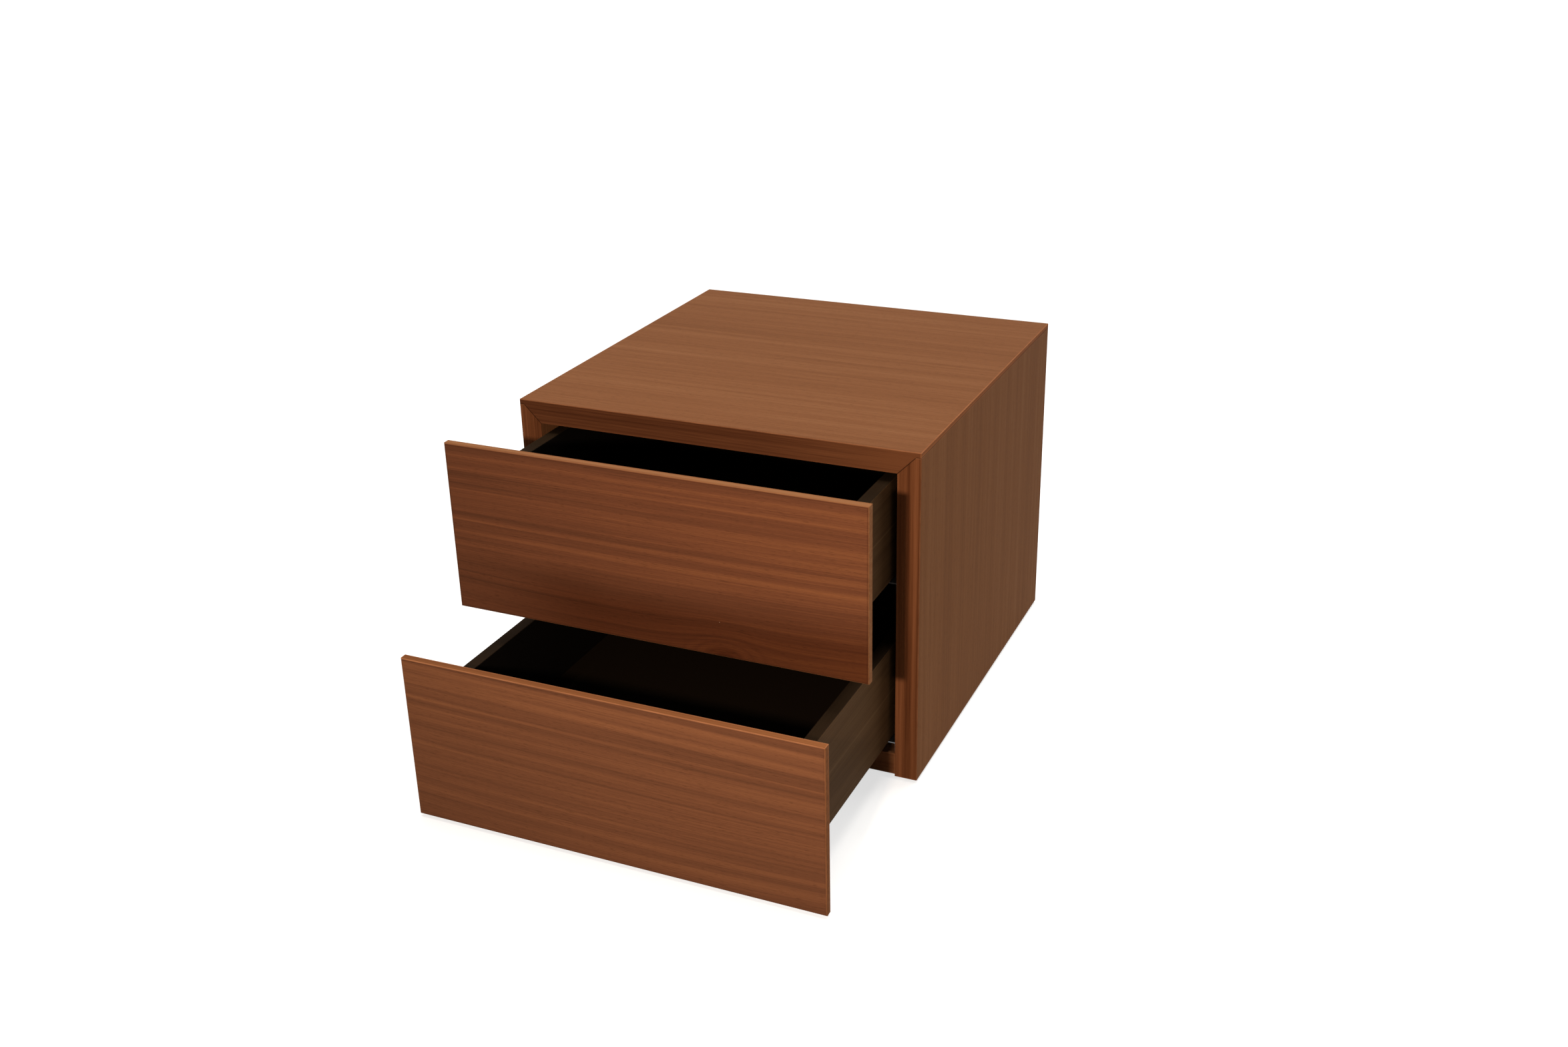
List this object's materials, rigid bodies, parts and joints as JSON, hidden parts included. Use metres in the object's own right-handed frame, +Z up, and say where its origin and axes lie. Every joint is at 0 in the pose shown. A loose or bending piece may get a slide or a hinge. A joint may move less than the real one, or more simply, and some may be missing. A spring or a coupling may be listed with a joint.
{
  "type": "two-drawer bedside chest",
  "caption": "Cube-shaped walnut-veneer chest with full-overlay push-to-open drawers on roller runners.",
  "frame": {"origin": "on the floor, under the middle of the chest's width and of its length with both drawers part open as modelled", "axes": "+X to the right seen from the front, +Y from the drawer fronts to the back, +Z up"},
  "size_m": [0.5, 0.782, 0.412],
  "materials": {
    "walnut_veneer": "satin lacquered walnut veneer",
    "dark_laminate": "dark brown woodgrain laminate on board",
    "beech": "plain beech, unfinished",
    "zinc_plated_steel": "bright zinc-plated strip",
    "bright_steel": "plain bright steel",
    "black_nylon": "fine matt moulded nylon",
    "pale_nylon": "natural moulded nylon"
  },
  "bodies": {
    "carcass": {"top_panel": "walnut_veneer", "left_side_panel": "walnut_veneer", "right_side_panel": "walnut_veneer", "bottom_panel": "walnut_veneer", "back_panel": "walnut_veneer", "mitre_tongues": "beech", "bottom_dowels": "beech", "back_panel_screws": "bright_steel", "floor_glides": "black_nylon", "glide_nails": "bright_steel", "upper_left_cabinet_rail": "zinc_plated_steel", "upper_right_cabinet_rail": "zinc_plated_steel", "lower_left_cabinet_rail": "zinc_plated_steel", "lower_right_cabinet_rail": "zinc_plated_steel", "cabinet_rail_screws": "bright_steel", "latch_housings": "black_nylon", "latch_screws": "bright_steel"},
    "upper_drawer": {"upper_drawer_front": "walnut_veneer", "upper_box_front": "dark_laminate", "upper_box_left_side": "dark_laminate", "upper_box_right_side": "dark_laminate", "upper_box_back": "dark_laminate", "upper_box_bottom": "dark_laminate", "upper_box_dowels": "beech", "upper_front_screws": "bright_steel", "upper_left_drawer_rail": "zinc_plated_steel", "upper_right_drawer_rail": "zinc_plated_steel", "upper_drawer_rail_screws": "bright_steel"},
    "upper_middle_rails": {"upper_left_middle_rail": "zinc_plated_steel", "upper_right_middle_rail": "zinc_plated_steel"},
    "upper_cabinet_side_rollers": {"upper_cabinet_roller_cages": "pale_nylon", "upper_cabinet_rollers": "bright_steel"},
    "upper_drawer_side_rollers": {"upper_drawer_roller_cages": "pale_nylon", "upper_drawer_rollers": "bright_steel"},
    "lower_drawer": {"lower_drawer_front": "walnut_veneer", "lower_box_front": "dark_laminate", "lower_box_left_side": "dark_laminate", "lower_box_right_side": "dark_laminate", "lower_box_back": "dark_laminate", "lower_box_bottom": "dark_laminate", "lower_box_dowels": "beech", "lower_front_screws": "bright_steel", "lower_left_drawer_rail": "zinc_plated_steel", "lower_right_drawer_rail": "zinc_plated_steel", "lower_drawer_rail_screws": "bright_steel"},
    "lower_middle_rails": {"lower_left_middle_rail": "zinc_plated_steel", "lower_right_middle_rail": "zinc_plated_steel"},
    "lower_cabinet_side_rollers": {"lower_cabinet_roller_cages": "pale_nylon", "lower_cabinet_rollers": "bright_steel"},
    "lower_drawer_side_rollers": {"lower_drawer_roller_cages": "pale_nylon", "lower_drawer_rollers": "bright_steel"},
    "upper_plunger": {"upper_latch_plunger": "pale_nylon"},
    "lower_plunger": {"lower_latch_plunger": "pale_nylon"}
  },
  "joints": [
    {"name": "upper_drawer_slide", "type": "slide", "parent": "carcass", "child": "upper_drawer", "axis": [0, -1, 0], "range_m": [-0.144, 0.306]},
    {"name": "upper_middle_rails_slide", "type": "slide", "parent": "carcass", "child": "upper_middle_rails", "axis": [0, -1, 0], "range_m": [-0.072, 0.153]},
    {"name": "upper_cabinet_side_rollers_slide", "type": "slide", "parent": "carcass", "child": "upper_cabinet_side_rollers", "axis": [0, -1, 0], "range_m": [-0.036, 0.0765]},
    {"name": "upper_drawer_side_rollers_slide", "type": "slide", "parent": "carcass", "child": "upper_drawer_side_rollers", "axis": [0, -1, 0], "range_m": [-0.108, 0.2295]},
    {"name": "lower_drawer_slide", "type": "slide", "parent": "carcass", "child": "lower_drawer", "axis": [0, -1, 0], "range_m": [-0.263, 0.187]},
    {"name": "lower_middle_rails_slide", "type": "slide", "parent": "carcass", "child": "lower_middle_rails", "axis": [0, -1, 0], "range_m": [-0.1315, 0.0935]},
    {"name": "lower_cabinet_side_rollers_slide", "type": "slide", "parent": "carcass", "child": "lower_cabinet_side_rollers", "axis": [0, -1, 0], "range_m": [-0.06575, 0.04675]},
    {"name": "lower_drawer_side_rollers_slide", "type": "slide", "parent": "carcass", "child": "lower_drawer_side_rollers", "axis": [0, -1, 0], "range_m": [-0.19725, 0.14025]},
    {"name": "upper_plunger_push", "type": "slide", "parent": "carcass", "child": "upper_plunger", "axis": [0, 1, 0], "range_m": [0, 0.01], "stiffness_N_per_m": 150, "springref_m": -0.01},
    {"name": "lower_plunger_push", "type": "slide", "parent": "carcass", "child": "lower_plunger", "axis": [0, 1, 0], "range_m": [0, 0.01], "stiffness_N_per_m": 150, "springref_m": -0.01}
  ],
  "couplings": [
    {"joint": "upper_middle_rails_slide", "follows": "upper_drawer_slide", "ratio": 0.5},
    {"joint": "upper_cabinet_side_rollers_slide", "follows": "upper_drawer_slide", "ratio": 0.25},
    {"joint": "upper_drawer_side_rollers_slide", "follows": "upper_drawer_slide", "ratio": 0.75},
    {"joint": "lower_middle_rails_slide", "follows": "lower_drawer_slide", "ratio": 0.5},
    {"joint": "lower_cabinet_side_rollers_slide", "follows": "lower_drawer_slide", "ratio": 0.25},
    {"joint": "lower_drawer_side_rollers_slide", "follows": "lower_drawer_slide", "ratio": 0.75}
  ]
}
